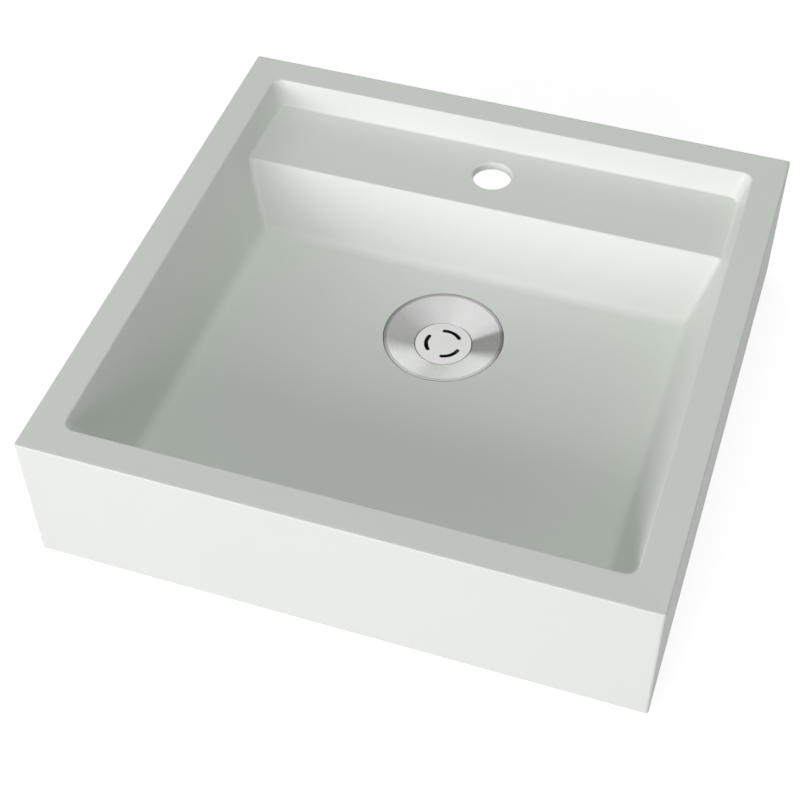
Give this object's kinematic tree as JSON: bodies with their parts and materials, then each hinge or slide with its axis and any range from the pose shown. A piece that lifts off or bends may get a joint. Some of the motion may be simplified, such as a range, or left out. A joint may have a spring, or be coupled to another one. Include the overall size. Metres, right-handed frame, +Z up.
{
  "type": "vessel sink",
  "caption": "Square stone-resin vessel basin with a sunken tap deck, a dished steel drain flange, a lift-out slotted strainer and a screwed waste body.",
  "frame": {"origin": "middle of the basin's base plane, where it stands on the counter", "axes": "+Z up, +Y towards the tap deck at the back, +X to the right seen from the front"},
  "size_m": [0.5, 0.5, 0.1734],
  "materials": {
    "stone_resin": "matte, faintly grained white cast marble resin",
    "brushed_steel": "turned brushing in circles round the drain",
    "plain_steel": "plain stainless screw",
    "brass": "turned",
    "black_rubber": "matte",
    "dark_plastic": "moulded, matte",
    "white_plastic": "moulded polypropylene"
  },
  "bodies": {
    "basin_body": {"basin": "stone_resin", "drain_flange": "brushed_steel", "flange_gasket": "black_rubber", "clamp_screw": "plain_steel", "screw_washer": "black_rubber", "thread_insert": "brass", "body_gasket": "black_rubber", "waste_body": "white_plastic"},
    "strainer": {"strainer_cover": "brushed_steel", "strainer_carrier": "dark_plastic", "grip_ring": "black_rubber"}
  },
  "joints": [
    {"name": "strainer_lift", "type": "slide", "parent": "basin_body", "child": "strainer", "axis": [0, 0, 1], "range_m": [0, 0.12]}
  ]
}
